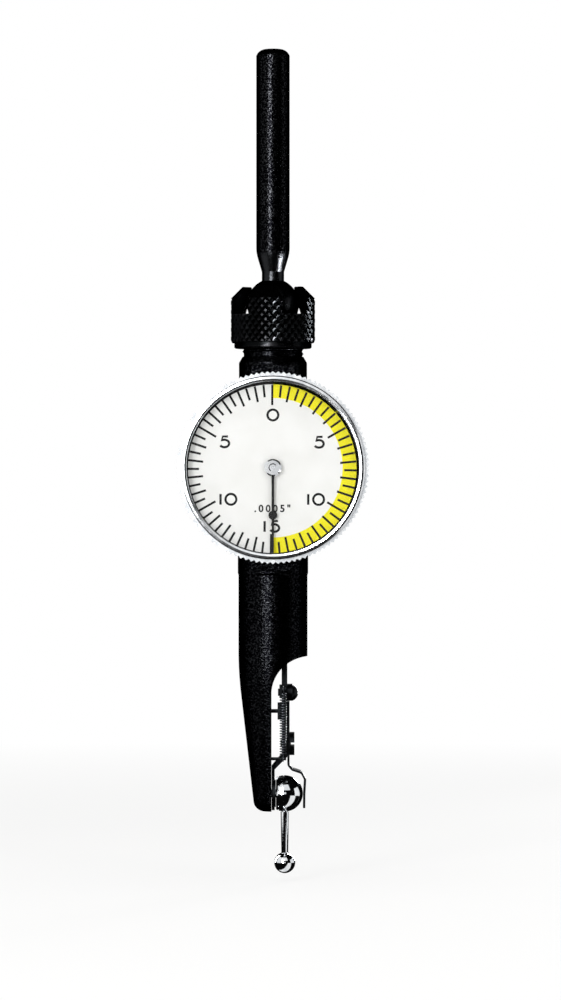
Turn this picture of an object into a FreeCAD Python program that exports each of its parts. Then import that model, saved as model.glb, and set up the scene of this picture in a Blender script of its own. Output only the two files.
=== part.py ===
import FreeCAD, Part
import math
import os

# Dial test indicator with a swivel contact and a ball-jointed friction holder, in millimetres.
# Z runs up the instrument's axis, the dial faces -Y, and the swivel contact is on the +X side.
# The origin is on the axis, at the upper end of the shank's straight wall.

# shank and its ball
shank_r = 3.175
shank_dome = 1.24
shank_straight = 37.43
neck_r = 2.11
neck_z = -41.04
neck_blend_r = 7.0
spigot_r = 1.40
ball_r = 4.95
ball_z = -47.22
ball_fit = 0.08

# knurled nut
nut_r = 8.0
nut_top_z = -43.89
nut_chamfer = 2.2
nut_knurl_bottom_z = -54.53
nut_bottom_z = -55.58
nut_rim_r = 7.35
nut_mouth_r = 4.10
nut_bore_r = 5.86
slot_width = 5.67
slot_floor_z = -49.20
slot_turn = 34.3

# case
thread_r = 5.80
thread_root_r = 5.55
thread_top_z = -50.40
shoulder_z = -57.19
upper_r = 6.46
collar_r = 6.68
collar_top_z = -61.90
collar_bottom_z = -98.20
case_r = 6.55
taper_top_z = -117.0
taper_blend_r = 70.0
taper_end_r = 3.72
taper_end_z = -141.40
case_end_z = -143.45
seat_bore_r = 4.35
seat_ledge_z = -56.60
seat_rim_drop = 3.0
bore_r = 4.00
bore_end_z = -119.5
cut_face_x = -0.30
cut_arc_r = 7.06
cut_arc_z = -121.03
window_hole_r = 1.75
housing_screw_offset = 9.5
bush_r = 1.30
bush_end_x = -3.10

# dial head
dial_z = -78.28
pad_y = -5.00
pad_r = 19.6
housing_r = 16.70
housing_front_y = -7.70
bezel_r = 18.10
bezel_back_y = -5.30
bezel_front_y = -11.00
bezel_teeth = 110
bezel_tooth = 0.40
bezel_lip_r = 17.25
bezel_step_y = -9.70
dial_r = 16.50
dial_y = -8.40
window_r = 16.20
crystal_y = -10.00
hand_y = -9.05
hand_reach = 16.0

# mechanism
pivot_x = 2.24
pivot_z = -140.10
hub_r = 3.45
hub_face_x = 0.58
pinion_teeth = 10
lever_teeth = 270
crown_teeth = 40
lever_gear_r = 30.0
crown_gear_r = 3.20
lever_module = 2 * lever_gear_r / lever_teeth
crown_module = 2 * crown_gear_r / crown_teeth
spindle_pinion_r = lever_module * pinion_teeth / 2
hand_pinion_r = crown_module * pinion_teeth / 2
full_swing = 360 * pinion_teeth**2 / (lever_teeth * crown_teeth)
spindle_r = 0.50
arbor_r = 0.35
running = 0.03
plate_left_x = 1.65
plate_right_x = 2.72
plate_half = 1.85
lever_left_x = -0.25
lever_pivot_right_x = 0.33
lever_pivot_r = 0.75
lever_screw_z = -120.85
leaf_screw_z = -130.60
screw_shaft_r = 0.69
leaf_thick = 0.43
stop_y = -2.80
stop_z = -124.3
stop_pin_r = 0.37
spring_pin_r = 0.30
spring_wire_r = 0.13
spring_coil_r = 0.56
spring_turns = 24
stem_r = 0.78
tip_r = 2.00
tip_z = -153.25

V = FreeCAD.Vector
axis_x = V(1, 0, 0)
axis_y = V(0, 1, 0)
axis_z = V(0, 0, 1)
pivot = V(pivot_x, 0, pivot_z)
spring_foot = V(1.92, -3.60, -133.3)
anchor_mid = V(1.92, -3.92, -119.95)


def rod_x(radius, x0, x1, y, z):
    return Part.makeCylinder(radius, x1 - x0, V(x0, y, z), axis_x)


def rod_y(radius, y0, y1, z=dial_z):
    """Cylinder along Y, from y0 (the front) to y1."""
    return Part.makeCylinder(radius, y1 - y0, V(0, y0, z), axis_y)


def rod_z(radius, z0, z1):
    return Part.makeCylinder(radius, z1 - z0, V(0, 0, z0), axis_z)


def block(x0, x1, y0, y1, z0, z1):
    return Part.makeBox(x1 - x0, y1 - y0, z1 - z0, V(x0, y0, z0))


def turned(profile):
    """Solid of revolution about Z from (radius, z) points."""
    corners = [V(r, 0, z) for r, z in profile]
    face = Part.Face(Part.makePolygon(corners + corners[:1]))
    return face.revolve(V(0, 0, 0), axis_z, 360)


def turned_on_dial(profile):
    """Solid of revolution about the dial's axis from (radius, y) points."""
    corners = [V(r, y, dial_z) for r, y in profile]
    face = Part.Face(Part.makePolygon(corners + corners[:1]))
    return face.revolve(V(0, 0, dial_z), axis_y, 360)


def eased(before, corner, after, radius):
    """Arc of the given radius that eases a corner, with the points where it meets the two runs."""
    u = (before - corner).normalize()
    w = (after - corner).normalize()
    half = u.getAngle(w) / 2
    reach = radius / math.tan(half)
    first, last = corner + u * reach, corner + w * reach
    middle = corner + (u + w).normalize() * (radius / math.sin(half) - radius)
    return first, Part.Arc(first, middle, last).toShape(), last


def at_rest(shape):
    """Lean a lever piece from its middle position to its rest stop, half the full swing."""
    posed = shape.copy()
    posed.rotate(pivot, axis_x, full_swing / 2)
    return posed


# holder

def shank():
    flat_r = 1.62
    dome = Part.Arc(V(flat_r, 0, shank_dome), V(2.66, 0, 0.78), V(shank_r, 0, 0)).toShape()
    wall = [V(shank_r, 0, 0), V(shank_r, 0, -shank_straight), V(neck_r, 0, neck_z)]
    first, blend, last = eased(*wall, neck_blend_r)
    lower = [last, V(neck_r, 0, neck_z), V(neck_r, 0, ball_z + 3.35), V(spigot_r, 0, ball_z + 3.35),
             V(spigot_r, 0, ball_z - 1.2), V(0, 0, ball_z - 1.2),
             V(0, 0, shank_dome), V(flat_r, 0, shank_dome)]
    wire = Part.Wire([dome, Part.makeLine(wall[0], first), blend] + Part.makePolygon(lower).Edges)
    return Part.Face(wire).revolve(V(0, 0, 0), axis_z, 360)


def swivel_ball():
    ball = Part.makeSphere(ball_r, V(0, 0, ball_z))
    neck_socket = rod_z(neck_r + 0.05, ball_z + 3.30, ball_z + ball_r + 1)
    spigot_socket = rod_z(spigot_r + running, ball_z - 1.3, ball_z + ball_r)
    return ball.cut(neck_socket).cut(spigot_socket)


def knurled_nut():
    body = turned([(0, nut_top_z), (nut_r - nut_chamfer, nut_top_z),
                   (nut_r, nut_top_z - nut_chamfer), (nut_r, nut_knurl_bottom_z),
                   (nut_rim_r, nut_knurl_bottom_z), (nut_rim_r, nut_bottom_z), (0, nut_bottom_z)])
    cone_bottom = slot_floor_z + 0.2
    bore = rod_z(nut_bore_r, nut_bottom_z - 1, cone_bottom)
    cone = Part.makeCone(nut_bore_r, ball_r + ball_fit, 1.9, V(0, 0, cone_bottom), axis_z)
    seat = Part.makeSphere(ball_r + ball_fit, V(0, 0, ball_z))
    mouth = rod_z(nut_mouth_r, ball_z + 1, nut_top_z + 1)
    body = body.cut(bore).cut(cone).cut(seat).cut(mouth)
    for quarter in (0, 90):
        slot = block(-slot_width / 2, slot_width / 2, -nut_r - 1, nut_r + 1, slot_floor_z, nut_top_z + 1)
        slot.rotate(V(0, 0, 0), axis_z, slot_turn + quarter)
        body = body.cut(slot)
    return body


def ball_seat():
    cup = rod_z(seat_bore_r - 0.05, seat_ledge_z + 2.2, ball_z - seat_rim_drop)
    cup = cup.cut(Part.makeSphere(ball_r + ball_fit, V(0, 0, ball_z)))
    return cup.cut(rod_z(1.0, seat_ledge_z, ball_z))


def friction_spring():
    """Two cone washers, rim to rim at their small ends."""
    large, small, thick, rise = seat_bore_r - 0.1, 1.6, 0.45, 0.65
    low = seat_ledge_z
    lower = turned([(large, low), (large, low + thick), (small, low + thick + rise), (small, low + rise)])
    middle = low + thick + rise
    upper = turned([(small, middle), (small, middle + thick),
                    (large, middle + thick + rise), (large, middle + rise)])
    return Part.makeCompound([lower, upper])


# case

def case_outline():
    """The turned outside: thread, shoulder, dial collar, barrel, taper and rounded end."""
    end_arc = Part.Arc(V(taper_end_r, 0, taper_end_z), V(3.22, 0, -142.75), V(2.0, 0, case_end_z)).toShape()
    barrel = [V(case_r, 0, collar_bottom_z - 0.4), V(case_r, 0, taper_top_z), V(taper_end_r, 0, taper_end_z)]
    first, blend, last = eased(*barrel, taper_blend_r)
    rest = [V(2.0, 0, case_end_z), V(0, 0, case_end_z), V(0, 0, thread_top_z),
            V(thread_root_r, 0, thread_top_z), V(thread_r, 0, thread_top_z - 0.3),
            V(thread_r, 0, nut_bottom_z + 0.5), V(thread_root_r, 0, nut_bottom_z + 0.25),
            V(thread_root_r, 0, shoulder_z), V(thread_r, 0, shoulder_z),
            V(upper_r, 0, shoulder_z - 1.14),
            V(upper_r, 0, collar_top_z), V(collar_r, 0, collar_top_z - 0.22),
            V(collar_r, 0, collar_bottom_z), barrel[0],
            first]
    taper = Part.makeLine(last, barrel[2])
    wire = Part.Wire([end_arc] + Part.makePolygon(rest).Edges + [blend, taper])
    return Part.Face(wire).revolve(V(0, 0, 0), axis_z, 360)


def case():
    body = case_outline()
    body = body.cut(rod_y(pad_r, -12, pad_y))
    body = body.cut(rod_z(seat_bore_r, seat_ledge_z, thread_top_z + 1))
    body = body.cut(rod_z(bore_r, bore_end_z, seat_ledge_z + 1))
    arc = Part.makeCylinder(cut_arc_r, 20, V(cut_face_x + cut_arc_r, -10, cut_arc_z), axis_y)
    below = block(cut_face_x, 10, -10, 10, case_end_z - 1, cut_arc_z)
    body = body.cut(arc.fuse(below))
    body = body.cut(rod_y(window_hole_r, pad_y - 1, -3.0))
    for side in (-1, 1):
        body = body.cut(rod_y(0.58, pad_y - 1, pad_y + 0.92, dial_z + side * housing_screw_offset))
    body = body.cut(rod_x(bush_r, bush_end_x, 1, 0, pivot_z))
    body = body.cut(rod_x(stop_pin_r, -2.0, 1, stop_y, stop_z))
    return body.cut(rod_x(spring_pin_r, -2.0, 1, spring_foot.y, spring_foot.z))


def pivot_bush():
    return rod_x(bush_r, bush_end_x, cut_face_x, 0, pivot_z).cut(
        rod_x(lever_pivot_r + running, -4, 1, 0, pivot_z))


def lever_stop():
    """Stud in the cut face, with a block that the lever's front edge rests on."""
    pin = rod_x(stop_pin_r, -2.0, 1.0, stop_y, stop_z)
    head = block(0.87, 2.60, stop_y - 0.40, stop_y + 0.40, stop_z - 1.62, stop_z + 1.62)
    return pin.fuse(head)


def spring_pin():
    return rod_x(spring_pin_r, -2.0, spring_foot.x + 0.6, spring_foot.y, spring_foot.z)


def lower_bearing():
    """D-shaped plug in the bore, cut back to let the lever pass."""
    plug = rod_z(bore_r, -113.9, -112.4)
    plug = plug.cut(block(1.15, 5, -5, 5, -115, -112))
    return plug.cut(rod_z(0.33, -115, -112))


def movement_bridge():
    """Disc that carries the spindle's upper journal, with a tab for the hand arbor's inner pivot."""
    disc = rod_z(bore_r, -82.5, -81.0)
    tab = block(-0.9, 0.9, -1.8, -1.0, -81.5, dial_z + 0.85)
    body = disc.fuse(tab)
    body = body.cut(rod_z(spindle_r + running, -83, -80.5))
    return body.cut(rod_y(arbor_r + running, -2, 0))


# dial head

def dial_housing():
    cup = turned_on_dial([(0, pad_y), (housing_r, pad_y), (housing_r, -6.35), (housing_r - 0.40, -6.35),
                          (housing_r - 0.40, -7.05), (housing_r, -7.05), (housing_r, housing_front_y),
                          (15.40, housing_front_y), (15.40, -6.20), (0, -6.20)])
    cup = cup.cut(rod_y(1.20, -8, -4))
    for side in (-1, 1):
        z = dial_z + side * housing_screw_offset
        cup = cup.cut(rod_y(0.62, -8, -4, z)).cut(rod_y(1.35, -8, -5.45, z))
    return cup


def housing_screws():
    screws = []
    for side in (-1, 1):
        z = dial_z + side * housing_screw_offset
        screw = rod_y(1.30, -6.30, -5.45, z).fuse(rod_y(0.57, -5.5, pad_y + 0.85, z))
        screws.append(screw.cut(block(-2, 2, -6.5, -6.0, z - 0.15, z + 0.15)))
    return Part.makeCompound(screws)


def snap_ring():
    """Split wire ring in the housing's groove that holds the bezel on and drags on it."""
    ring = turned_on_dial([(16.34, -6.45), (16.92, -6.45), (16.92, -6.95), (16.34, -6.95)])
    return ring.cut(block(-0.8, 0.8, -8, -5, dial_z + 15, dial_z + 19))


def bezel():
    ring = turned_on_dial([
        (housing_r + 0.06, bezel_back_y), (17.65, bezel_back_y), (17.65, bezel_step_y),
        (bezel_lip_r, bezel_step_y), (bezel_lip_r, -10.60), (17.05, -10.90), (16.65, bezel_front_y), (16.30, -10.90), (window_r, -10.80),
        (dial_r + 0.05, -10.80), (dial_r + 0.05, -8.00), (15.60, -8.00), (15.60, -7.80),
        (housing_r + 0.06, -7.80), (housing_r + 0.06, -7.15), (17.05, -7.15), (17.05, -6.25),
        (housing_r + 0.06, -6.25)])
    return ring.fuse(serration())


def serration():
    """Toothed band round the bezel: one closed star outline, less the ring's own body."""
    corners = []
    for k in range(bezel_teeth):
        for step, radius in ((0, bezel_r), (0.5, bezel_r - bezel_tooth)):
            turn = 2 * math.pi * (k + step) / bezel_teeth
            corners.append(V(radius * math.sin(turn), bezel_step_y, dial_z + radius * math.cos(turn)))
    star = Part.Face(Part.makePolygon(corners + corners[:1])).extrude(V(0, 4.15, 0))
    return star.cut(rod_y(17.55, -12, -4))


def dial():
    return rod_y(dial_r, dial_y, -8.0).cut(rod_y(1.10, -9, -7))


def dial_spacer():
    ring = rod_y(dial_r, crystal_y, dial_y)
    return ring.cut(rod_y(window_r, -11, -8))


def crystal():
    """Low domed window, with a step that sits behind the bezel's lip."""
    dome_rise, rim_y, dome_r = 0.45, -10.55, window_r - 0.04
    sphere_r = (dome_r**2 + dome_rise**2) / (2 * dome_rise)
    front_y = rim_y - dome_rise
    dome = Part.makeSphere(sphere_r, V(0, front_y + sphere_r, dial_z)).common(rod_y(dome_r, front_y, rim_y))
    return rod_y(dial_r, rim_y, crystal_y).fuse(dome)


# hand

def hand():
    """Needle from a ring on the hub straight down to the rim, with a round spot on the way."""
    half, tip_half, spot_r, spot_at = 0.25, 0.16, 0.84, 8.95
    low = dial_z - hand_reach
    needle = Part.Face(Part.makePolygon([
        V(-half, hand_y, dial_z), V(half, hand_y, dial_z), V(half, hand_y, dial_z - spot_at),
        V(tip_half, hand_y, low), V(-tip_half, hand_y, low), V(-half, hand_y, dial_z - spot_at),
        V(-half, hand_y, dial_z)])).extrude(V(0, -0.15, 0))
    body = needle.fuse(rod_y(1.25, hand_y - 0.15, hand_y))
    body = body.fuse(rod_y(spot_r, hand_y - 0.15, hand_y, dial_z - spot_at))
    return body.cut(rod_y(0.75, -10, -8))


def hand_hub():
    return turned_on_dial([(arbor_r, -8.70), (0.75, -8.70), (0.75, hand_y - 0.15), (1.62, hand_y - 0.15),
                           (1.62, -9.45), (1.35, -9.66), (0.80, -9.66), (0.62, -9.56), (arbor_r, -9.56)])


def hand_bush():
    bush = rod_y(1.20, -6.55, -4.30).fuse(rod_y(1.80, -6.45, -6.20))
    return bush.cut(rod_y(arbor_r + running, -8, -3))


def hand_arbor():
    return rod_y(arbor_r, -9.56, -1.05)


def hairspring_collet():
    return rod_y(0.80, -7.30, -6.70).cut(rod_y(arbor_r, -8, -6))


def hairspring():
    """Flat spiral strip from just outside the collet to the stud."""
    turns, inner, outer, half, steps = 3.5, 0.92, 3.0, 0.06, 14
    count = int(turns * steps)

    def spiral(offset):
        points = []
        for k in range(count + 1):
            turn = 2 * math.pi * k / steps
            radius = inner + (outer - inner) * k / count + offset
            points.append(V(radius * math.sin(turn), -6.80, dial_z + radius * math.cos(turn)))
        return points

    outline = spiral(half) + spiral(-half)[::-1]
    return Part.Face(Part.makePolygon(outline + outline[:1])).extrude(V(0, -0.4, 0))


def hairspring_stud():
    return rod_y(0.35, -7.35, -6.20, dial_z - 3.41)


# gears

def pinion_outline(module):
    """Straight-flanked teeth round a small root circle, in the XY plane, with a gap on +X."""
    pitch_r = module * pinion_teeth / 2
    pitch_angle = 2 * math.pi / pinion_teeth
    flanks = [(-0.30, -1.15), (-0.22, 0.0), (-0.11, 0.80), (0.11, 0.80), (0.22, 0.0), (0.30, -1.15)]
    corners = []
    for k in range(pinion_teeth):
        for side, height in flanks:
            turn = (k + 0.5 + side) * pitch_angle
            radius = pitch_r + height * module
            corners.append(V(radius * math.cos(turn), radius * math.sin(turn), 0))
    return Part.Face(Part.makePolygon(corners + corners[:1]))


def crown_tooth(module, inner_r, outer_r, pitch_r):
    """One tooth of a crown gear, lying along +X with its tip towards +Z and its root at Z=0."""
    root, tip = 1.15 * module, 0.80 * module
    pitch = math.pi * module
    ends = []
    for radius in (inner_r, outer_r):
        wide = 0.30 * pitch * radius / pitch_r
        narrow = 0.13 * pitch * radius / pitch_r
        corners = [V(radius, -wide, 0), V(radius, wide, 0), V(radius, narrow, root + tip),
                   V(radius, -narrow, root + tip)]
        ends.append(Part.makePolygon(corners + corners[:1]))
    return Part.makeLoft(ends, True, True)


def spindle_pinion():
    gear = pinion_outline(lever_module).extrude(V(0, 0, 1.8))
    gear.translate(V(0, 0, -111.0))
    return gear.cut(rod_z(spindle_r, -112, -108))


def hand_pinion():
    """Pinion on the hand arbor, with one tooth up in the crown gear's front gap."""
    gear = pinion_outline(crown_module).extrude(V(0, 0, 1.0))
    gear.rotate(V(0, 0, 0), axis_z, 180 / pinion_teeth)
    gear.rotate(V(0, 0, 0), axis_x, 90)
    gear.rotate(V(0, 0, 0), axis_y, -90)
    gear.translate(V(0, -2.7, dial_z))
    return gear.cut(rod_y(arbor_r, -4, -2))


def crown_gear():
    """Disc at the spindle's top, toothed on its underside, with a gap at the front."""
    root_z = dial_z + hand_pinion_r + 1.15 * crown_module
    body = rod_z(3.72, root_z, root_z + 0.9)
    body = body.cut(rod_z(2.45, root_z - 1, root_z + 0.4)).fuse(rod_z(1.1, root_z, root_z + 1.3))
    tooth = crown_tooth(crown_module, 2.70, 3.70, crown_gear_r)
    tooth.rotate(V(0, 0, 0), axis_x, 180)
    tooth.translate(V(0, 0, root_z + 0.001))
    teeth = []
    for k in range(crown_teeth):
        one = tooth.copy()
        one.rotate(V(0, 0, 0), axis_z, -90 + (k + 0.5) * 360 / crown_teeth)
        teeth.append(one)
    return body.fuse(teeth).cut(rod_z(spindle_r, -80, -70))


def spindle():
    return rod_z(spindle_r, -112.4, -76.0).fuse(rod_z(0.30, -113.8, -112.4))


# lever

def lever_arm():
    """Joggled strip: a disc beside the hub, a cranked neck, and a long arm up to a crown sector."""
    top_z = pivot_z + lever_gear_r + 1.1
    edge = Part.Face(Part.makePolygon([
        V(lever_left_x, -5, pivot_z - 3.3), V(lever_left_x, -5, -134.9), V(plate_left_x, -5, -132.6),
        V(plate_left_x, -5, top_z - 2.3), V(sector_root_x(), -5, top_z - 2.1), V(sector_root_x(), -5, top_z),
        V(plate_right_x, -5, top_z), V(plate_right_x, -5, -132.95), V(lever_pivot_right_x, -5, -135.4),
        V(lever_pivot_right_x, -5, pivot_z - 3.3), V(lever_left_x, -5, pivot_z - 3.3)]))
    strip = edge.extrude(V(0, 10, 0))
    face = rod_x(3.2, -1, 4, 0, pivot_z).fuse(block(-1, 4, -plate_half, plate_half, pivot_z, top_z))
    arm = strip.common(face).removeSplitter()
    tooth = crown_tooth(lever_module, lever_gear_r - 0.8, lever_gear_r + 0.8, lever_gear_r)
    tooth.rotate(V(0, 0, 0), axis_y, -90)
    tooth.translate(V(sector_root_x() + 0.001, 0, pivot_z))
    arm = at_rest(arm)
    for k in range(-1, 4):
        one = tooth.copy()
        one.rotate(pivot, axis_x, k * 360 / lever_teeth)
        arm = arm.fuse(one)
    holes = rod_x(lever_pivot_r, -3, 5, 0, pivot_z)
    for z in (lever_screw_z, leaf_screw_z):
        holes = holes.fuse(at_rest(rod_x(0.70, 0, 5, 0, z)))
    return arm.cut(holes)


def sector_root_x():
    return spindle_pinion_r + 1.15 * lever_module


def lever_pivot():
    return rod_x(lever_pivot_r, -2.9, 3.4, 0, pivot_z)


def friction_washer():
    return rod_x(2.6, lever_pivot_right_x, lever_pivot_right_x + 0.2, 0, pivot_z).cut(
        rod_x(0.76, 0, 2, 0, pivot_z))


def leaf_spring():
    """Flat strip down the arm's outer face, cranked out and round to bear on the swivel hub."""
    x = plate_right_x + leaf_thick / 2
    touch_x = pivot_x + hub_r + 0.04 + leaf_thick / 2
    path = [V(x, -1.6, -122.6), V(x, -1.6, -134.6), V(x + 0.75, -1.6, -135.45), V(5.45, -1.6, -136.05),
            V(6.10, -1.6, -137.3), V(touch_x, -1.6, pivot_z), V(touch_x - 0.03, -1.6, -142.75)]
    wire = rounded_path(path, (0.9, 0.6, 0.9, 0.9, 6.0))
    outer = wire.makeOffset2D(leaf_thick / 2, 0, True, True)
    inner = wire.makeOffset2D(-leaf_thick / 2, 0, True, True)
    strip = outer.fuse(inner).removeSplitter().extrude(V(0, 3.2, 0)).removeSplitter()
    hole = rod_x(0.72, 0, 8, 0, leaf_screw_z)
    return at_rest(strip.cut(hole))


def rounded_path(points, radii):
    """Straight runs in a plane of constant Y, joined by tangent arcs of the given radii."""
    edges = []
    start = points[0]
    for before, corner, after, radius in zip(points, points[1:], points[2:], radii):
        first, arc, last = eased(before, corner, after, radius)
        edges.append(Part.makeLine(start, first))
        edges.append(arc)
        start = last
    edges.append(Part.makeLine(start, points[-1]))
    return Part.Wire(edges)


def leaf_screw():
    """Cheese-head screw that holds the leaf spring on the arm."""
    face_x = plate_right_x + leaf_thick
    head = rod_x(2.2, face_x, face_x + 0.92, 0, leaf_screw_z)
    screw = head.fuse(rod_x(screw_shaft_r, plate_left_x - 0.2, face_x + 0.1, 0, leaf_screw_z))
    slot = block(face_x + 0.25, face_x + 2, -3, 3, leaf_screw_z - 0.36, leaf_screw_z + 0.36)
    return at_rest(screw.cut(slot))


def lever_screw():
    """Domed screw that clamps the spring anchor on the arm."""
    head_r, base_h, dome_h = 1.62, 0.95, 1.15
    base = rod_x(head_r, plate_right_x, plate_right_x + base_h, 0, lever_screw_z)
    ball_radius = (head_r**2 + dome_h**2) / (2 * dome_h)
    centre = V(plate_right_x + base_h + dome_h - ball_radius, 0, lever_screw_z)
    dome = Part.makeSphere(ball_radius, centre).common(
        rod_x(head_r, plate_right_x + base_h, plate_right_x + base_h + dome_h, 0, lever_screw_z))
    shaft = rod_x(screw_shaft_r, 0.95, plate_right_x + 0.1, 0, lever_screw_z)
    slot = block(plate_right_x + 1.45, plate_right_x + 3, -0.2, 0.2, lever_screw_z - 3, lever_screw_z + 3)
    return at_rest(base.fuse(dome).fuse(shaft).cut(slot))


def spring_anchor():
    """Small plate under the arm with a pin that the return spring hooks on."""
    plate = block(1.22, plate_left_x, anchor_mid.y + 1.0, 1.1, lever_screw_z - 0.85, anchor_mid.z + 0.5)
    plate = plate.fuse(block(1.22, plate_left_x, anchor_mid.y - 0.5, 0, anchor_mid.z - 0.5, anchor_mid.z + 0.5))
    pin = rod_x(spring_pin_r, 1.3, anchor_mid.x + 0.6, anchor_mid.y, anchor_mid.z)
    hole = rod_x(screw_shaft_r, 0, 3, 0, lever_screw_z)
    return at_rest(plate.cut(hole).fuse(pin))


def wire_solid(points, radius):
    """Six-sided wire through the points, its section carried along without twist."""
    rings = []
    normal = axis_x
    for k, point in enumerate(points):
        run = (points[min(k + 1, len(points) - 1)] - points[max(k - 1, 0)]).normalize()
        normal = (normal - run * normal.dot(run)).normalize()
        side = run.cross(normal)
        turns = [math.radians(60 * j) for j in range(6)]
        rings.append([point + normal * (radius * math.cos(t)) + side * (radius * math.sin(t)) for t in turns])
    triangles = []
    for low, high in zip(rings, rings[1:]):
        for j in range(6):
            near, far = j, (j + 1) % 6
            triangles.append((low[near], low[far], high[far]))
            triangles.append((low[near], high[far], high[near]))
    faces = [Part.Face(Part.makePolygon(corners + corners[:1])) for corners in (rings[0], rings[-1])]
    for a, b, c in triangles:
        faces.append(Part.Face(Part.makePolygon([a, b, c, a])))
    shell = Part.Shell(faces)
    shell.sewShape()
    return Part.Solid(shell)


def return_spring():
    """Close coil between the case's spring pin and the lever's anchor, with a hook at each end."""
    hook_r, steps = 0.46, 8
    top = at_rest(Part.Vertex(anchor_mid)).Point
    length = (top - spring_foot).Length
    margin = hook_r + 0.30
    hook_turns = [math.radians(-140 + 23 * k) for k in range(11)]
    lower_hook = [V(0, hook_r * math.sin(t), -hook_r * math.cos(t)) for t in hook_turns]
    coil = []
    count = spring_turns * steps
    for k in range(count + 1):
        turn = 2 * math.pi * (k / steps + 0.25)
        height = margin + (length - 2 * margin) * k / count
        coil.append(V(spring_coil_r * math.cos(turn), spring_coil_r * math.sin(turn), height))
    upper_hook = [V(0, p.y, length - p.z) for p in reversed(lower_hook)]
    spring = wire_solid(lower_hook + coil + upper_hook, spring_wire_r)
    spring.Placement = FreeCAD.Placement(spring_foot, FreeCAD.Rotation(axis_z, top - spring_foot))
    return spring


# swivel contact

def swivel_hub():
    """Steel ball with one side faced flat, two turned grooves, and a bore for the pivot."""
    ball = Part.makeSphere(hub_r, pivot)
    ball = ball.cut(block(-5, hub_face_x, -5, 5, pivot_z - 5, pivot_z + 5))
    for groove_x in (0.95, 1.95):
        band = rod_x(hub_r + 1, groove_x, groove_x + 0.16, 0, pivot_z)
        floor_r = math.sqrt(hub_r**2 - (pivot_x - groove_x)**2) - 0.14
        ball = ball.cut(band.cut(rod_x(floor_r, groove_x - 1, groove_x + 1, 0, pivot_z)))
    ball = ball.cut(rod_x(lever_pivot_r + running, 0, 3.5, 0, pivot_z))
    return ball.cut(Part.makeCylinder(0.55, 3, V(pivot_x, 0, pivot_z - 4.0), axis_z))


def contact_point():
    """Slim tapered stem with a hard ball on its end and a threaded tenon in the hub."""
    hub_bottom = pivot_z - hub_r
    tenon = Part.makeCylinder(0.55, 2.6, V(pivot_x, 0, pivot_z - 3.9), axis_z)
    collar = Part.makeCylinder(stem_r, 0.6, V(pivot_x, 0, hub_bottom - 0.65), axis_z)
    stem_length = hub_bottom - 0.65 - tip_z
    stem = Part.makeCone(0.62, stem_r, stem_length, V(pivot_x, 0, tip_z), axis_z)
    return tenon.fuse(collar).fuse(stem).fuse(Part.makeSphere(tip_r, V(pivot_x, 0, tip_z)))


makers = (shank, swivel_ball, knurled_nut, ball_seat, friction_spring, case, pivot_bush, lever_stop,
          spring_pin, lower_bearing, movement_bridge, dial_housing, housing_screws, snap_ring,
          hand_bush, hairspring_stud, hairspring, return_spring, bezel, dial, dial_spacer, crystal,
          hand, hand_hub, hand_arbor, hand_pinion, hairspring_collet, spindle, spindle_pinion,
          crown_gear, lever_arm, lever_pivot, friction_washer, leaf_spring, leaf_screw, lever_screw,
          spring_anchor, swivel_hub, contact_point)

os.makedirs("parts", exist_ok=True)
for maker in makers:
    maker().exportStep(f"parts/{maker.__name__}.step")
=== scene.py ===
import bpy
import math
from mathutils import Matrix, Vector


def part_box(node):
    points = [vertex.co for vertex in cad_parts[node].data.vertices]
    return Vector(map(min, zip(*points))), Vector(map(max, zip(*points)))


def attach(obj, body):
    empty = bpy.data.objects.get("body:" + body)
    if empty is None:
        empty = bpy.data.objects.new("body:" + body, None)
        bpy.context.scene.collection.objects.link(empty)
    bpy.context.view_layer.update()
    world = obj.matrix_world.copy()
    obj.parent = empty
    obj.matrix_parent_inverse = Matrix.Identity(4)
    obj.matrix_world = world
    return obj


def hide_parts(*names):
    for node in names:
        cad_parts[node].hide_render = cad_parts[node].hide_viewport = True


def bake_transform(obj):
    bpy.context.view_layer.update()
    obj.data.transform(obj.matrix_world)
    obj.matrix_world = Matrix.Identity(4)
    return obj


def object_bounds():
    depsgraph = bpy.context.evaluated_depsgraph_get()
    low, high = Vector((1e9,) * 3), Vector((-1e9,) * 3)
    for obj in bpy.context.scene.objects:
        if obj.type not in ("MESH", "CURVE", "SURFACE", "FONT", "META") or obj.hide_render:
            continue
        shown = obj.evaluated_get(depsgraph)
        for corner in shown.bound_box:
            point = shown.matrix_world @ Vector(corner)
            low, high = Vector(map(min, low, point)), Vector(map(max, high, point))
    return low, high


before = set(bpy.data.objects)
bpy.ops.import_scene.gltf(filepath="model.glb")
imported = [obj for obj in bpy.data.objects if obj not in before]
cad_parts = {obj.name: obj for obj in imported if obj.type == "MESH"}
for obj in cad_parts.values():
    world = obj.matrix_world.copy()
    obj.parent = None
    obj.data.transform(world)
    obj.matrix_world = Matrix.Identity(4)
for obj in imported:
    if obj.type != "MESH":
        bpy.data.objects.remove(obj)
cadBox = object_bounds()
mm = 0.001
hair = 0.001 * mm  # lengths closer than this count as equal
print("frame loaded:", len(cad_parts), "nodes")


# shared helpers

def hexColour(code):
    # sRGB hex to the linear values that a shader takes
    channels = [int(code[k:k + 2], 16) / 255 for k in (1, 3, 5)]
    linear = [c / 12.92 if c <= 0.04045 else ((c + 0.055) / 1.055) ** 2.4 for c in channels]
    return (*linear, 1.0)


def addNode(tree, kind, settings=None, links=None):
    # one shader node with its settings and what feeds it
    node = tree.nodes.new(kind)
    for name, value in (settings or {}).items():
        if isinstance(name, int) or name in node.inputs:
            node.inputs[name].default_value = value
        else:
            setattr(node, name, value)
    for name, source in (links or {}).items():
        tree.links.new(source, node.inputs[name])
    return node


def newMaterial(name, constants):
    material = bpy.data.materials.new(name)
    material.use_nodes = True
    shader = material.node_tree.nodes["Principled BSDF"]
    for socket, value in constants.items():
        shader.inputs[socket].default_value = value
    return material, material.node_tree, shader


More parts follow.
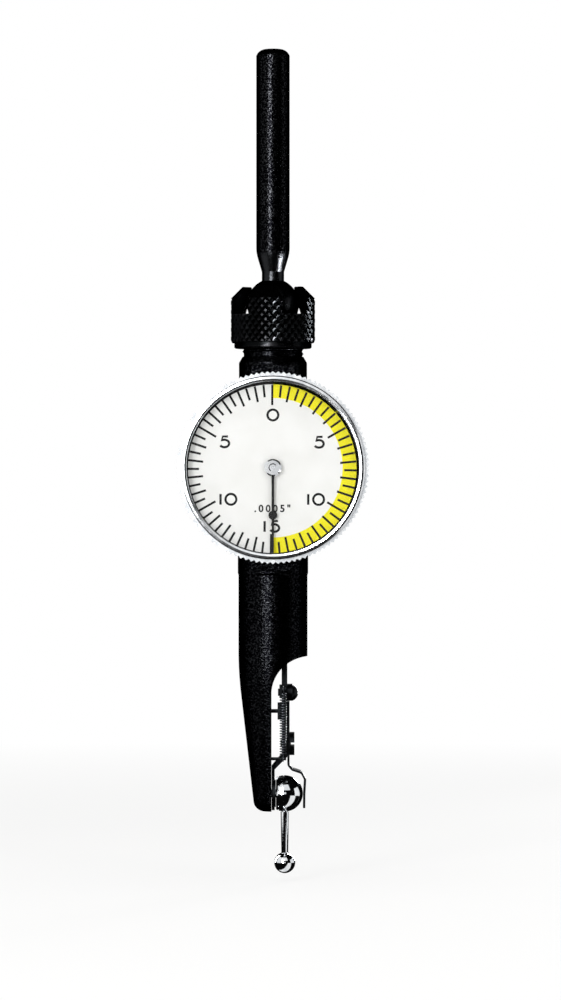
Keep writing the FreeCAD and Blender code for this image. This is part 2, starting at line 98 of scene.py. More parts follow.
def noise(tree, size, detail=3.0, stretch=(1, 1, 1)):
    # noise whose grains are about size metres across, stretched along the axes
    place = addNode(tree, "ShaderNodeTexCoord").outputs["Object"]
    scale = tuple(k / size for k in stretch)
    placed = addNode(tree, "ShaderNodeMapping", {"Scale": scale}, {"Vector": place})
    grain = addNode(tree, "ShaderNodeTexNoise", {"Scale": 1.0, "Detail": detail},
                    {"Vector": placed.outputs["Vector"]})
    return grain.outputs["Fac"]


def ringNoise(tree, centre, size):
    # noise that changes only with the distance from a centre, for faced and lapped surfaces
    place = addNode(tree, "ShaderNodeTexCoord").outputs["Object"]
    away = addNode(tree, "ShaderNodeVectorMath", {"operation": "DISTANCE", 1: centre}, {0: place})
    scaled = addNode(tree, "ShaderNodeMath", {"operation": "MULTIPLY", 1: 1 / size},
                     {0: away.outputs["Value"]})
    rings = addNode(tree, "ShaderNodeTexNoise", {"noise_dimensions": "1D", "Scale": 1.0, "Detail": 2.0},
                    {"W": scaled.outputs["Value"]})
    return rings.outputs["Fac"]


def tintAndShine(tree, shader, tint, shine):
    # tint is a pattern, two colours and where in the pattern one turns to the other
    # shine is a pattern and the two roughnesses that it runs between
    pattern, dark, light, low, high = tint
    share = addNode(tree, "ShaderNodeMapRange", {"From Min": low, "From Max": high}, {"Value": pattern})
    colour = addNode(tree, "ShaderNodeMix",
                     {"data_type": "RGBA", 6: hexColour(dark), 7: hexColour(light)},
                     {0: share.outputs["Result"]})
    tree.links.new(colour.outputs[2], shader.inputs["Base Color"])
    pattern, smooth, rough = shine
    shine = addNode(tree, "ShaderNodeMapRange", {"To Min": smooth, "To Max": rough}, {"Value": pattern})
    tree.links.new(shine.outputs["Result"], shader.inputs["Roughness"])
    return colour.outputs[2]


def relief(tree, shader, layers):
    # bumps laid one over the other: each a pattern, its height and its strength
    links = {}
    for pattern, height, strength in layers:
        links["Height"] = pattern
        layer = addNode(tree, "ShaderNodeBump", {"Distance": height, "Strength": strength}, links)
        links["Normal"] = layer.outputs["Normal"]
    tree.links.new(links["Normal"], shader.inputs["Normal"])


def deselectAll():
    if bpy.context.object and bpy.context.object.mode != "OBJECT":
        bpy.ops.object.mode_set(mode="OBJECT")
    bpy.ops.object.select_all(action="DESELECT")


def selectOnly(piece):
    deselectAll()
    piece.select_set(True)
    bpy.context.view_layer.objects.active = piece


def startPiece(name):
    # the primitive just added, renamed, with its place moved into its mesh
    piece = bpy.context.object
    piece.name = name
    bpy.ops.object.transform_apply(location=True, rotation=True, scale=True)
    return piece


def chooseElements(piece, kind, test):
    # selects the faces or edges of a piece, in edit mode, that pass a test
    bpy.ops.object.mode_set(mode="EDIT")
    bpy.ops.mesh.select_mode(type=kind)
    bpy.ops.mesh.select_all(action="DESELECT")
    bpy.ops.object.mode_set(mode="OBJECT")
    mesh = piece.data
    elements = mesh.polygons if kind == "FACE" else mesh.edges
    for element in elements:
        element.select = test(mesh, element)
    bpy.ops.object.mode_set(mode="EDIT")


def edgeEnds(mesh, edge):
    return [mesh.vertices[k].co for k in edge.vertices]


def closeMesh(piece):
    bpy.ops.object.mode_set(mode="EDIT")
    bpy.ops.mesh.select_all(action="SELECT")
    bpy.ops.mesh.remove_doubles(threshold=0.002 * mm)
    bpy.ops.mesh.normals_make_consistent(inside=False)
    bpy.ops.object.mode_set(mode="OBJECT")


def applyModifier(piece, kind, settings):
    bpy.context.view_layer.objects.active = piece
    bpy.ops.object.modifier_add(type=kind)
    modifier = piece.modifiers[-1]
    for name, value in settings.items():
        setattr(modifier, name, value)
    bpy.ops.object.modifier_apply(modifier=modifier.name)


def dress(piece, material, body):
    piece.data.materials.clear()
    piece.data.materials.append(material)
    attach(piece, body)


def joined(pieces, name):
    selectOnly(pieces[0])
    for piece in pieces:
        piece.select_set(True)
    bpy.ops.object.join()
    pieces[0].name = name
    return pieces[0]


def roundWire(name, points, radius, closed=False):
    # a round wire through points, made a mesh
    curve = bpy.data.curves.new(name, "CURVE")
    curve.dimensions = "3D"
    curve.bevel_depth = radius
    curve.bevel_resolution = 2
    curve.use_fill_caps = True
    line = curve.splines.new("POLY")
    line.points.add(len(points) - 1)
    for point, place in zip(line.points, points):
        point.co = (*place, 1)
    line.use_cyclic_u = closed
    wire = bpy.data.objects.new(name, curve)
    bpy.context.scene.collection.objects.link(wire)
    selectOnly(wire)
    bpy.ops.object.convert(target="MESH")
    return wire


# materials

darkMetal = {"Metallic": 1.0, "Specular Tint": hexColour("#101010")}  # the tint keeps a black rim black
shankNeck = {"start": -37.2 * mm, "full": -38.2 * mm, "colour": "#262729"}


def blackOxideSteel():
    # turned steel rod in hot black oxide: all but black, its highlight broken by fine grit
    material, tree, shader = newMaterial("blackOxideTurned", darkMetal)
    grit = noise(tree, 0.30 * mm, detail=5.0)  # real grit is ten times finer, too fine to show
    black = tintAndShine(tree, shader, (grit, "#020203", "#2B2C2E", 0.49, 0.68), (grit, 0.12, 0.28))
    place = addNode(tree, "ShaderNodeTexCoord").outputs["Object"]
    height = addNode(tree, "ShaderNodeSeparateXYZ", links={0: place}).outputs["Z"]
    neck = addNode(tree, "ShaderNodeMapRange",
                   {"From Min": shankNeck["start"], "From Max": shankNeck["full"]}, {"Value": height})
    rubbed = addNode(tree, "ShaderNodeMix", {"data_type": "RGBA", 7: hexColour(shankNeck["colour"])},
                     {0: neck.outputs["Result"], 6: black})  # the neck is rubbed brighter
    tree.links.new(rubbed.outputs[2], shader.inputs["Base Color"])
    toolMarks = noise(tree, 0.11 * mm, stretch=(0.02, 0.02, 1))  # rings a tenth of a millimetre apart
    relief(tree, shader, [(toolMarks, 0.006 * mm, 0.6), (grit, 0.050 * mm, 1.0)])
    return material


def blackOxideKnurl():
    # cut knurl in black oxide: black flanks, crests rubbed a little grey by fingers
    material, tree, shader = newMaterial("blackOxideKnurled", darkMetal)
    crest = addNode(tree, "ShaderNodeNewGeometry").outputs["Pointiness"]
    # above a half is a crest, and the sharper the crest the more it is rubbed
    wear = addNode(tree, "ShaderNodeMapRange", {"From Min": 0.505, "From Max": 0.56}, {"Value": crest})
    patchy = addNode(tree, "ShaderNodeMath", {"operation": "MULTIPLY"},
                     {0: wear.outputs["Result"], 1: noise(tree, 0.9 * mm)})
    grit = noise(tree, 0.16 * mm)  # coarser than real, so that it shows
    tintAndShine(tree, shader, (patchy.outputs["Value"], "#0C0D0E", "#29292B", 0.15, 0.70),
                 (grit, 0.14, 0.34))
    relief(tree, shader, [(grit, 0.016 * mm, 0.8)])
    return material


def blackCaseEnamel():
    # stoved enamel on a turned case: black, with a fine crinkle that breaks the highlight into specks
    material, tree, shader = newMaterial("blackStovedEnamel", darkMetal)
    crinkle = noise(tree, 0.30 * mm, detail=6.0, stretch=(0.8, 0.8, 1))
    tintAndShine(tree, shader, (crinkle, "#020203", "#242527", 0.49, 0.68), (crinkle, 0.12, 0.28))
    relief(tree, shader, [(crinkle, 0.070 * mm, 1.0)])
    return material


def chromePlate(name, centre, roughness, ringWidth=0.10 * mm, ringDepth=0.004 * mm):
    # chromium over turned brass: bright and slightly blue, with lathe rings just felt in the reflection
    material, tree, shader = newMaterial(name, {"Metallic": 1.0})
    smear = noise(tree, 1.8 * mm)
    tintAndShine(tree, shader, (smear, "#D3D7DB", "#ECEEF0", 0.35, 0.65),
                 (smear, roughness * 0.75, roughness * 1.35))
    relief(tree, shader, [(ringNoise(tree, centre, ringWidth), ringDepth, 0.5)])
    return material


def groundSteel(name, dark, light, roughness, grain):
    # ground or drawn steel: grain lines along the work, a little uneven in shine
    material, tree, shader = newMaterial(name, {"Metallic": 1.0})
    lines = noise(tree, 0.09 * mm, stretch=grain)  # grinding lines, coarser than real to show
    tintAndShine(tree, shader, (noise(tree, 1.5 * mm), dark, light, 0.35, 0.65),
                 (lines, roughness * 0.8, roughness * 1.25))
    relief(tree, shader, [(lines, 0.006 * mm, 0.5)])
    return material


def cutBrass(name, dark, light):
    # machined brass or bronze: warm metal with fine cutter lines and a light tarnish in patches
    material, tree, shader = newMaterial(name, {"Metallic": 1.0})
    tarnish = noise(tree, 0.9 * mm, detail=4.0)
    tintAndShine(tree, shader, (tarnish, dark, light, 0.35, 0.65), (tarnish, 0.38, 0.24))
    relief(tree, shader, [(noise(tree, 0.07 * mm, stretch=(1, 1, 0.1)), 0.005 * mm, 0.5)])
    return material


def dialEnamel():
    # baked white enamel on a brass blank: matt, a trace of grain, not quite paper white
    material, tree, shader = newMaterial("dialWhiteEnamel", {"IOR": 1.5, "Specular IOR Level": 0.35})
    grain = noise(tree, 0.15 * mm)
    tintAndShine(tree, shader, (noise(tree, 6.0 * mm), "#F4F4F1", "#FAFAF8", 0.35, 0.65),
                 (grain, 0.45, 0.6))
    relief(tree, shader, [(grain, 0.003 * mm, 0.4)])
    return material


def printInk(name, dark, light, roughness):
    # screen-printed ink: flat colour, a hair uneven in thickness
    material, tree, shader = newMaterial(name, {"IOR": 1.5, "Specular IOR Level": 0.15})
    patch = noise(tree, 0.4 * mm)
    tintAndShine(tree, shader, (patch, dark, light, 0.35, 0.65),
                 (patch, roughness - 0.08, roughness + 0.08))
    relief(tree, shader, [(patch, 0.003 * mm, 0.4)])
    return material


def clearCrystal():
    # moulded clear acrylic window: next to no colour of its own, seen only by its shine
    material, tree, shader = newMaterial("clearAcrylic", {"IOR": 1.49, "Alpha": 0.05,
                                                          "Specular IOR Level": 1.0})
    haze = noise(tree, 4.0 * mm)
    tintAndShine(tree, shader, (haze, "#1A1D1E", "#262A2B", 0.35, 0.65), (haze, 0.03, 0.06))
    return material


dialLow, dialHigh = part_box("dial")
dialCentre = (dialLow + dialHigh) / 2
hubLow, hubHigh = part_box("swivel_hub")
hubCentre = (hubLow + hubHigh) / 2
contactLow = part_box("contact_point")[0]

oxide = blackOxideSteel()
knurlOxide = blackOxideKnurl()
enamel = blackCaseEnamel()
bezelChrome = chromePlate("bezelSatinChrome", dialCentre, 0.21)
handChrome = chromePlate("handHubTurned", dialCentre, 0.14, 0.30 * mm, 0.05 * mm)
hubPolish = chromePlate("hubPolishedSteel", hubCentre, 0.07)
tipChrome = chromePlate("contactHardChrome", contactLow, 0.05)
blackSteel = groundSteel("blackenedGroundSteel", "#141517", "#232527", 0.30, (1, 1, 0.06))
springSteel = groundSteel("temperedSpringSteel", "#3A3C40", "#55585C", 0.30, (1, 0.06, 0.06))
brightSteel = groundSteel("brightTurnedSteel", "#A9ACB0", "#C4C7CA", 0.26, (0.05, 0.05, 1))
brass = cutBrass("machinedBrass", "#A8823C", "#D2AE62")
bronze = cutBrass("phosphorBronze", "#8A5A34", "#B57E4C")
dialWhite = dialEnamel()
blackInk = printInk("blackDialInk", "#050506", "#0C0C0D", 0.55)
yellowInk = printInk("yellowDialInk", "#FBEF06", "#FFF61C", 0.55)
crystalClear = clearCrystal()

finishes = {
    oxide: ("shank", "swivel_ball"),
    enamel: ("case",),
    bezelChrome: ("bezel",),
    hubPolish: ("swivel_hub",),
    tipChrome: ("contact_point",),
    blackSteel: ("lever_arm", "leaf_screw", "lever_screw", "spring_anchor", "leaf_spring", "lever_stop",
                 "spring_pin"),
    springSteel: ("friction_spring", "snap_ring", "hairspring", "friction_washer"),
    brightSteel: ("dial_spacer", "lever_pivot", "housing_screws", "spindle", "hand_arbor", "dial_housing"),
    handChrome: ("hand_hub",),
    brass: ("movement_bridge", "crown_gear", "hairspring_collet", "hairspring_stud", "hand_pinion",
            "spindle_pinion"),
    bronze: ("ball_seat", "pivot_bush", "hand_bush", "lower_bearing"),
    dialWhite: ("dial",),
    blackInk: ("hand",),
    crystalClear: ("crystal",),
}
for material, nodes in finishes.items():
    for node in nodes:
        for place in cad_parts[node].material_slots:
            place.material = material
print("materials on", sum(len(nodes) for nodes in finishes.values()), "nodes")


# knurled nut: a band of diamonds, then the plain rings, then the slots

nutSettings = {
    "around": 36, "rows": 5, "grooveDepth": 0.25 * mm, "grooveHalf": 0.33 * mm,
    "chamfer": 2.2 * mm, "rimRadius": 7.35 * mm, "knurlBottom": -54.53 * mm,
    "mouthRadius": 4.10 * mm, "seatRadius": 5.03 * mm, "ballCentre": -47.22 * mm, "boreRadius": 5.86 * mm,
    "slotWidth": 5.67 * mm, "slotFloor": -49.20 * mm, "slotTurn": math.radians(34.3),
    "lead": 0.2 * mm, "seatBend": (0.95, 0.31),  # corner chamfer, and where the seat's round is drawn
    "smooth": math.radians(24),
}


def ringsUp(points, radius):
    # carries the selected ring through (radius, z step) pairs
    for newRadius, step in points:
        grow = newRadius / radius
        bpy.ops.mesh.extrude_region_move(TRANSFORM_OT_translate={"value": (0, 0, step)})
        bpy.ops.transform.resize(value=(grow, grow, 1))
        radius = newRadius


def knurledNut():
    s = nutSettings
    low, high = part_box("knurled_nut")
    crest, base = high.x, high.x - s["grooveDepth"]
    knurlTop = high.z - s["chamfer"]
    rowHeight = (knurlTop - s["knurlBottom"]) / s["rows"]
    deselectAll()
    bpy.ops.mesh.primitive_circle_add(vertices=s["around"], radius=base, location=(0, 0, s["knurlBottom"]))
    nut = startPiece("knurledNutBody")
    bpy.ops.object.mode_set(mode="EDIT")
    bpy.ops.mesh.select_all(action="SELECT")
    for row in range(s["rows"]):
        bpy.ops.mesh.extrude_region_move(TRANSFORM_OT_translate={"value": (0, 0, rowHeight)})
    bpy.ops.mesh.select_all(action="SELECT")
    bpy.ops.mesh.normals_make_consistent(inside=False)
    bpy.ops.mesh.poke()

    def squareEdge(mesh, edge):
        a, b = edgeEnds(mesh, edge)
        level = abs(a.z - b.z) < hair
        inside = s["knurlBottom"] + hair < a.z < knurlTop - hair
        upright = (a - b).xy.length < hair
        return upright or (level and inside)

    chooseElements(nut, "EDGE", squareEdge)  # taking the square edges out leaves the diamonds
    bpy.ops.mesh.dissolve_edges(use_verts=False)
    for corners, share in ((4, 1.0), (3, 0.5)):  # whole diamonds, then the half ones along the two rims
        chooseElements(nut, "FACE", lambda mesh, face: len(face.vertices) == corners)
        bpy.ops.mesh.inset(thickness=s["grooveHalf"] * share, depth=s["grooveDepth"] * share,
                           use_individual=True)

    def topRim(mesh, edge):
        a, b = edgeEnds(mesh, edge)
        return min(a.z, b.z) > knurlTop - hair and min(a.xy.length, b.xy.length) < base + hair

    chooseElements(nut, "EDGE", topRim)
    seatHeight = math.sqrt(s["seatRadius"] ** 2 - s["mouthRadius"] ** 2)
    mouthEnd = s["ballCentre"] + seatHeight
    lead = s["lead"]
    across, down = s["seatBend"]
    coneBottom = s["slotFloor"] + lead
    ringsUp([
        (crest, 0), (crest - s["chamfer"], s["chamfer"]), (s["mouthRadius"] + lead, 0),
        (s["mouthRadius"], -lead), (s["mouthRadius"], mouthEnd - high.z + lead),
        (s["seatRadius"] * across, s["seatRadius"] * down - seatHeight),
        (s["seatRadius"], -s["seatRadius"] * down), (s["boreRadius"], coneBottom - s["ballCentre"]),
        (s["boreRadius"], low.z + lead - coneBottom), (s["boreRadius"] + lead, -lead),
        (s["rimRadius"] - lead, 0), (s["rimRadius"], lead),
        (s["rimRadius"], s["knurlBottom"] - low.z - lead), (base, 0)], base)
    bpy.ops.object.mode_set(mode="OBJECT")
    closeMesh(nut)
    for quarter in (0, math.pi / 2):
        deselectAll()
        height = 2 * (high.z - s["slotFloor"])
        bpy.ops.mesh.primitive_cube_add(size=1, location=(0, 0, high.z),
                                        rotation=(0, 0, s["slotTurn"] + quarter),
                                        scale=(s["slotWidth"], 3 * crest, height))
        cutter = startPiece("slotCutter")
        selectOnly(nut)
        applyModifier(nut, "BOOLEAN", {"object": cutter, "operation": "DIFFERENCE", "solver": "EXACT"})
        bpy.data.objects.remove(cutter)
    closeMesh(nut)
    selectOnly(nut)
    bpy.ops.object.shade_smooth_by_angle(angle=s["smooth"])
    dress(nut, knurlOxide, "nut")
    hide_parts("knurled_nut")


knurledNut()
print("knurled nut done")


# thread between the nut and the shoulder: one ridge wound by the Screw modifier

threadSettings = {
    "rootRadius": 5.50 * mm, "crestRadius": 5.80 * mm, "pitch": 0.94 * mm, "turns": 2,
    "bottom": -57.10 * mm, "ridgeShare": 0.94,  # how much of the pitch the ridge takes
}


def neckThread():
    s = threadSettings
    deselectAll()
    bpy.ops.mesh.primitive_circle_add(vertices=3, radius=1, rotation=(math.pi / 2, math.pi / 2, 0))
    thread = startPiece("neckThread")
    tall = (s["crestRadius"] - s["rootRadius"]) / 1.5  # a triangle of radius 1 is 1.5 high, root 3 wide
    wide = s["pitch"] * s["ridgeShare"] / math.sqrt(3)
    thread.scale = (tall, 1, wide)
    thread.location = (s["rootRadius"] + tall / 2, 0, s["bottom"] + s["pitch"] / 2)
    bpy.ops.object.transform_apply(location=True, rotation=True, scale=True)
    applyModifier(thread, "SCREW", {"axis": "Z", "screw_offset": s["pitch"], "iterations": s["turns"],
                                    "steps": 72, "render_steps": 72, "use_smooth_shade": True})
    closeMesh(thread)
    dress(thread, enamel, "case")


neckThread()
print("thread done")


# dial print: band, graduations and plain numbers, all a hair proud of the enamel

dialSettings = {
    "ink": 0.012 * mm, "ringLift": 0.7,  # ink thickness, and the rings' height above the dial in inks
    "graduations": 60, "outer": 15.95 * mm, "tickWidth": 0.41 * mm,
    # inner and outer radius of the black ring that paints the shadow at the dial's edge
    "shadowRingInner": 15.85 * mm, "shadowRingOuter": 16.24 * mm,
    "shortEnd": 13.65 * mm, "unitEnd": 12.95 * mm, "longEnd": 12.12 * mm,
    "shiftX": -0.24 * mm, "shiftUp": -0.36 * mm,  # the print sits a little off centre and turned
    "turn": math.radians(0.5),
    "bandInner": 13.10 * mm, "bandOuter": 16.14 * mm,
    "height": 2.02 * mm, "stroke": 0.44 * mm, "pairStep": 1.95 * mm,
    # figure, then how far across and up from the dial's centre, in millimetres
    "numbers": [("0", 0, 9.90), ("5", 8.78, 4.78), ("5", -9.00, 4.85),
                ("10", 7.62, -5.98), ("10", -8.87, -5.95), ("15", -0.58, -11.05)],
    "valueText": ".0005\"", "valueHeight": 1.85 * mm, "valueSpacing": 1.45, "valueBold": 0.05 * mm,
    "valueAt": (-0.10 * mm, -8.30 * mm),
}


def onDial(x, up, lift=0.0):
    # a point on the dial's face, across and up from its centre, lifted off it towards the front
    return Vector((dialCentre.x + x, dialLow.y - lift, dialCentre.z + up))


def turnAboutDial(angle):
    # clockwise as seen from the front
    move = Matrix.Translation(dialCentre)
    return move @ Matrix.Rotation(angle, 4, "Y") @ move.inverted()


def dialTicks():
    s = dialSettings
    step = 2 * math.pi / s["graduations"]
    ticks = []
    for k in range(s["graduations"]):
        end = s["longEnd"] if k % 10 == 0 else s["unitEnd"] if k % 2 == 0 else s["shortEnd"]
        middle = onDial(0, (s["outer"] + end) / 2, s["ink"])
        deselectAll()
        bpy.ops.mesh.primitive_cube_add(size=1, location=middle,
                                        scale=(s["tickWidth"], s["ink"] * 2, s["outer"] - end))
        tick = startPiece("tick")
        tick.data.transform(turnAboutDial(k * step + s["turn"]))
        tick.data.transform(Matrix.Translation((s["shiftX"], 0, s["shiftUp"])))
        ticks.append(tick)
    return joined(ticks, "dialTicks")


def dialRing(name, inner, outer, shift=(0, 0)):
    # a flat ring of ink round the dial's centre
    s = dialSettings
    deselectAll()
    bpy.ops.mesh.primitive_circle_add(vertices=120, radius=outer, rotation=(math.pi / 2, 0, 0),
                                      location=onDial(0, 0, s["ink"] * s["ringLift"]))
    ring = startPiece(name)
    bpy.ops.object.mode_set(mode="EDIT")
    bpy.ops.mesh.select_all(action="SELECT")
    bpy.ops.mesh.extrude_region_move()
    bpy.ops.transform.resize(value=(inner / outer, 1, inner / outer), center_override=dialCentre)
    bpy.ops.transform.translate(value=(shift[0], 0, shift[1]))
    return ring


def inked(ring):
    bpy.ops.object.mode_set(mode="OBJECT")
    applyModifier(ring, "SOLIDIFY", {"thickness": dialSettings["ink"], "offset": 0.0})
    closeMesh(ring)
    return ring


def yellowBand():
    # a full ring, cut to the right-hand half
    band = dialRing("yellowBand", dialSettings["bandInner"], dialSettings["bandOuter"])
    bpy.ops.mesh.select_all(action="SELECT")
    bpy.ops.mesh.bisect(plane_co=dialCentre, plane_no=(1, 0, 0), clear_inner=True)
    return inked(band)


def paintedShadowRing():
    # a black ink ring where the dial meets its bezel: painted shadow of the gap, set half as far off centre
    # as the print so that it is thicker at the top right
    s = dialSettings
    ring = dialRing("dialPaintedShadowRing", s["shadowRingInner"], s["shadowRingOuter"], (s["shiftX"] / 2, s["shiftUp"] / 2))
    return inked(ring)


def strokePath(points, closed=False):
    # an inked line of even width through points of the dial's plane, in metres from its centre
    s = dialSettings
    stroke = roundWire("stroke", [onDial(x, up) for x, up in points], s["stroke"] / 2, closed)
    flat = s["ink"] * 2 / s["stroke"]
    face = Matrix.Translation((0, dialLow.y, 0))
    stroke.data.transform(face @ Matrix.Diagonal((1, flat, 1, 1)) @ face.inverted())
    return stroke


def arcPoints(x, up, radiusX, radiusUp, first, last, count):
    # angles in degrees, counter-clockwise from the right
    turns = [math.radians(first + (last - first) * k / count) for k in range(count + 1)]
    return [(x + radiusX * math.cos(t), up + radiusUp * math.sin(t)) for t in turns]


def digit(figure, x, up):
    half = dialSettings["height"] / 2
    if figure == "0":
        return strokePath(arcPoints(x, up, half, half, 0, 350, 35), closed=True)
    if figure == "1":
        return strokePath([(x, up - half), (x, up + half)])
    # a five: the flag from the right, then the bowl, as shares of half the height
    bowl = arcPoints(x - half * 0.12, up - half * 0.30, half * 0.88, half * 0.70, 128, -150, 24)
    flag = [(x + half * 0.55, up + half), (x - half * 0.42, up + half)]
    return strokePath(flag + bowl)


def dialNumbers():
    s = dialSettings
    strokes = []
    for figures, x, up in s["numbers"]:
        first = x * mm - s["pairStep"] * (len(figures) - 1) / 2
        for k, figure in enumerate(figures):
            strokes.append(digit(figure, first + k * s["pairStep"], up * mm))
    return joined(strokes, "dialNumbers")


def valueMark():
    # the worth of one graduation, in plain figures
    s = dialSettings
    deselectAll()
    bpy.ops.object.text_add(rotation=(math.pi / 2, 0, 0),
                            location=onDial(s["valueAt"][0], s["valueAt"][1], s["ink"]))
    text = bpy.context.object
    text.data.body = s["valueText"]
    text.data.size = s["valueHeight"]
    text.data.align_x = "CENTER"
    text.data.extrude = s["ink"]
    text.data.offset = s["valueBold"]
    text.data.space_character = s["valueSpacing"]
    bpy.ops.object.convert(target="MESH")
    return startPiece("graduationValue")


# the ring at the dial's edge is black ink that paints the shadow of the gap under the bezel
for piece, ink in ((dialTicks(), blackInk), (yellowBand(), yellowInk), (paintedShadowRing(), blackInk),
                   (dialNumbers(), blackInk), (valueMark(), blackInk)):
    dress(piece, ink, "bezel")
print("dial print done")


# return spring: round wire, stretched with the lever

springSettings = {  # millimetres and degrees
    "foot": (1.92, -3.60, -133.3), "anchor": (1.92, -3.92, -119.95), "pivot": (2.24, 0, -140.10),
    "lean": 360 / 108 / 2,  # half of the swing that turns the hand once round
    "wire": 0.13, "coil": 0.56, "turns": 24, "steps": 14,
    "hook": 0.46, "hookGap": 0.30, "hookFirst": -140, "hookStep": 23, "hookPoints": 11,
}


def returnSpring():
    s = springSettings
    foot, pivot = Vector(s["foot"]), Vector(s["pivot"])
    lean = Matrix.Rotation(math.radians(s["lean"]), 3, "X")
    top = pivot + lean @ (Vector(s["anchor"]) - pivot)
    length = (top - foot).length
    margin = s["hook"] + s["hookGap"]
    turns = [math.radians(s["hookFirst"] + s["hookStep"] * k) for k in range(s["hookPoints"])]
    hook = [Vector((0, s["hook"] * math.sin(t), -s["hook"] * math.cos(t))) for t in turns]
    coil = []
    for k in range(s["turns"] * s["steps"] + 1):
        turn = 2 * math.pi * (k / s["steps"] + 0.25)
        height = margin + (length - 2 * margin) * k / (s["turns"] * s["steps"])
        coil.append(Vector((s["coil"] * math.cos(turn), s["coil"] * math.sin(turn), height)))
    farHook = [Vector((0, p.y, length - p.z)) for p in reversed(hook)]
    points = hook + coil + farHook
    tilt = (top - foot).to_track_quat("Z", "Y").to_matrix()
    across = tilt @ Vector((1, 0, 0))
    spin = Matrix.Rotation(math.atan2(across.y, across.x), 3, "Z").inverted()
    placed = [(foot + tilt @ spin @ point) * mm for point in points]
    spring = roundWire("returnSpringCoil", placed, s["wire"] * mm)
    bpy.ops.object.shade_smooth()
    spring.data.materials.append(springSteel)
    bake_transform(spring)
    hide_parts("return_spring")


returnSpring()
print("return spring done")


# floor, backdrop, light and camera

studioSettings = {
    "floor": "#F1F1EF", "floorDrop": 1.5 * mm, "floorRadius": 4.0,
    "ambient": 0.50, "lens": 150, "viewHeight": 190 * mm, "aim": (1.43 * mm, -84.36 * mm),
    "floorGlow": (0.72, 1.0), "glowReach": (0.21, 0.48),
    "shellRadius": 0.62, "shellHeight": -0.08,
    "windows": [  # from and to: degrees round from the front, then degrees above the middle
        (-7, 7, -8, 8), (-98, -44, -82, 52), (-44, 36, 20, 58), (70, 126, -82, 24), (38, 72, -90, -82),
    ],
    "lamps": {  # place, size, watts, spread in degrees, the height it aims at and how it shows
        "keyLight": ((-0.22, -0.44, 0.02), (0.12, 0.42), 1.15, 180, -0.08, "both"),
        "fillLight": ((0.30, -0.40, -0.02), (0.12, 0.40), 0.52, 180, -0.08, "soft"),
        "topLight": ((0.0, -0.10, 0.50), (0.5, 0.4), 1.28, 180, -0.08, "soft"),
        "gleamLight": ((-0.16, -0.47, 0.00), (0.045, 0.46), 3.8, 180, -0.08, "gleam"),
        "neckGlint": ((0.169, -0.062, -0.144), (0.05, 0.05), 0.028, 16, -0.041, "gleam"),
        "backGleam": ((0.115, 0.25, -0.02), (0.05, 0.27), 1.7, 180, -0.08, "gleam"),
        "sideGleam": ((-0.22, 0.17, -0.02), (0.05, 0.27), 1.7, 180, -0.08, "gleam"),
    },
}


def shownShare(tree):
    # one for what the camera sees, straight or in metal and glass
    seen = addNode(tree, "ShaderNodeLightPath").outputs
    either = addNode(tree, "ShaderNodeMath", {"operation": "MAXIMUM"},
                     {0: seen["Is Camera Ray"], 1: seen["Is Glossy Ray"]})
    return addNode(tree, "ShaderNodeMath", {"operation": "MAXIMUM"},
                   {0: either.outputs["Value"], 1: seen["Is Transmission Ray"]}).outputs["Value"]


def paleBackdrop():
    # pale card that takes the object's shadow near its foot and is plain white further off
    s = studioSettings
    card = {"Roughness": 0.9, "Specular IOR Level": 0.1, "Base Color": hexColour(s["floor"])}
    material, tree, shader = newMaterial("paleBackdrop", card)
    place = addNode(tree, "ShaderNodeTexCoord").outputs["Object"]
    away = addNode(tree, "ShaderNodeVectorMath", {"operation": "LENGTH"}, {0: place}).outputs["Value"]
    reach = addNode(tree, "ShaderNodeMapRange",
                    {"From Min": s["glowReach"][0], "From Max": s["glowReach"][1],
                     "To Min": s["floorGlow"][0], "To Max": s["floorGlow"][1]},
                    {"Value": away}).outputs["Result"]
    glow = addNode(tree, "ShaderNodeMath", {"operation": "MULTIPLY"}, {0: reach, 1: shownShare(tree)})
    white = addNode(tree, "ShaderNodeEmission", {"Strength": 1.0})
    mix = addNode(tree, "ShaderNodeMixShader",
                  links={0: glow.outputs["Value"], 1: shader.outputs["BSDF"], 2: white.outputs["Emission"]})
    tree.links.new(mix.outputs["Shader"], tree.nodes["Material Output"].inputs["Surface"])
    return material


def studioFloor():
    # one wide round floor, so that every side of the object is seen against the same white
    s = studioSettings
    deselectAll()
    bpy.ops.mesh.primitive_circle_add(vertices=96, radius=s["floorRadius"], fill_type="NGON",
                                      location=(0, 0, cadBox[0].z - s["floorDrop"]))
    floor = startPiece("studioFloor")
    floor.data.materials.append(paleBackdrop())


def studioLamp(name, place, size, watts, spreadAngle, aimHeight, shows):
    lamp = bpy.data.lights.new(name, "AREA")
    lamp.shape = "RECTANGLE"
    lamp.size, lamp.size_y = size
    lamp.energy = watts
    lamp.spread = math.radians(spreadAngle)
    holder = bpy.data.objects.new(name, lamp)
    bpy.context.scene.collection.objects.link(holder)
    holder.location = place
    aim = Vector((0, 0, aimHeight)) - Vector(place)
    holder.rotation_euler = aim.to_track_quat("-Z", "Y").to_euler()
    holder.visible_camera = False
    holder.visible_diffuse = shows != "gleam"  # a gleam only makes highlights, a soft lamp makes none
    holder.visible_glossy = shows != "soft"


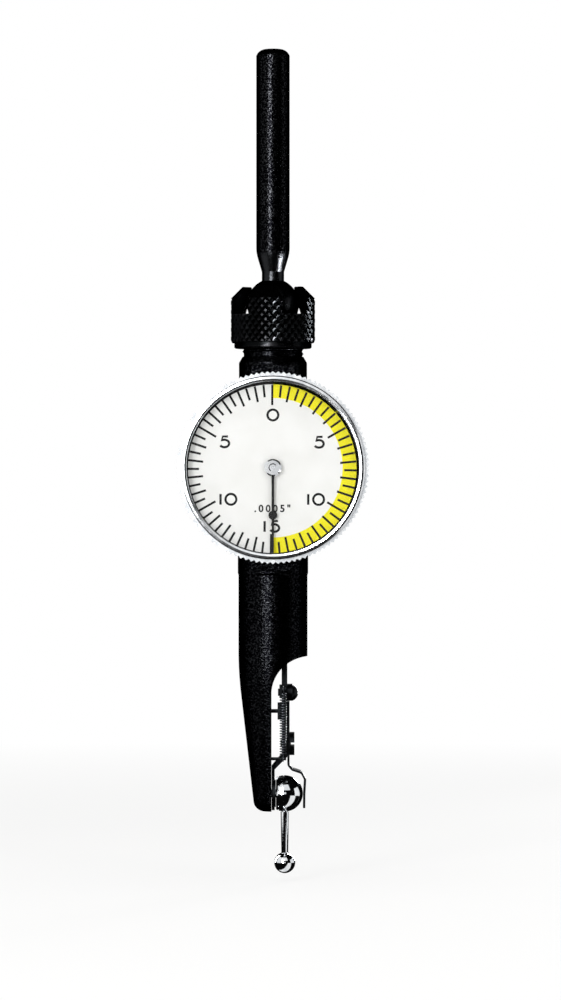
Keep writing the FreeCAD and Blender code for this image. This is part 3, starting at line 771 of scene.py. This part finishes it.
def studioLight():
    # a white room: what is seen of it is white, what it lends the object is softer
    s = studioSettings
    world = bpy.data.worlds.new("studioWorld")
    bpy.context.scene.world = world
    world.use_nodes = True
    tree = world.node_tree
    strength = addNode(tree, "ShaderNodeMapRange", {"To Min": s["ambient"], "To Max": 1.0},
                       {"Value": shownShare(tree)})
    sky = tree.nodes["Background"]
    sky.inputs["Color"].default_value = (1, 1, 1, 1)
    tree.links.new(strength.outputs["Result"], sky.inputs["Strength"])
    for name, settings in s["lamps"].items():
        studioLamp(name, *settings)


def darkShell():
    # a black shell round the object with a few windows, seen only in reflections: it gives the dark edges
    s = studioSettings
    centre = Vector((0, 0, s["shellHeight"]))
    ground = cadBox[0].z - s["floorDrop"] + 1 * mm
    deselectAll()
    bpy.ops.mesh.primitive_uv_sphere_add(segments=90, ring_count=45, radius=s["shellRadius"], location=centre)
    shell = startPiece("darkShell")

    def inWindow(mesh, face):
        away = face.center - centre
        turn = math.degrees(math.atan2(away.x, -away.y))
        rise = math.degrees(math.asin(away.z / away.length))
        return any(west < turn < east and low < rise < high for west, east, low, high in s["windows"])

    def underground(mesh, face):
        return face.center.z < ground

    chooseElements(shell, "FACE", inWindow)
    bpy.ops.mesh.delete(type="FACE")
    chooseElements(shell, "FACE", underground)
    bpy.ops.transform.resize(value=(1, 1, 0), center_override=(0, 0, ground))  # laid flat on the floor
    bpy.ops.object.mode_set(mode="OBJECT")
    card = {"Roughness": 0.95, "Specular IOR Level": 0.0, "Base Color": hexColour("#0A0A0A")}
    shell.data.materials.append(newMaterial("blackCard", card)[0])
    shell.visible_camera = False
    shell.visible_shadow = False
    shell.visible_diffuse = False


def frontCamera():
    s = studioSettings
    camera = bpy.data.cameras.new("frontCamera")
    camera.lens = s["lens"]
    holder = bpy.data.objects.new("frontCamera", camera)
    bpy.context.scene.collection.objects.link(holder)
    away = s["viewHeight"] * camera.lens / camera.sensor_width
    holder.location = (s["aim"][0], -away, s["aim"][1])
    holder.rotation_euler = (math.pi / 2, 0, 0)
    camera.clip_start, camera.clip_end = 0.01, 20
    bpy.context.scene.camera = holder


studioFloor()
studioLight()
darkShell()
frontCamera()
bpy.context.scene.view_settings.view_transform = "Standard"
print("studio done")
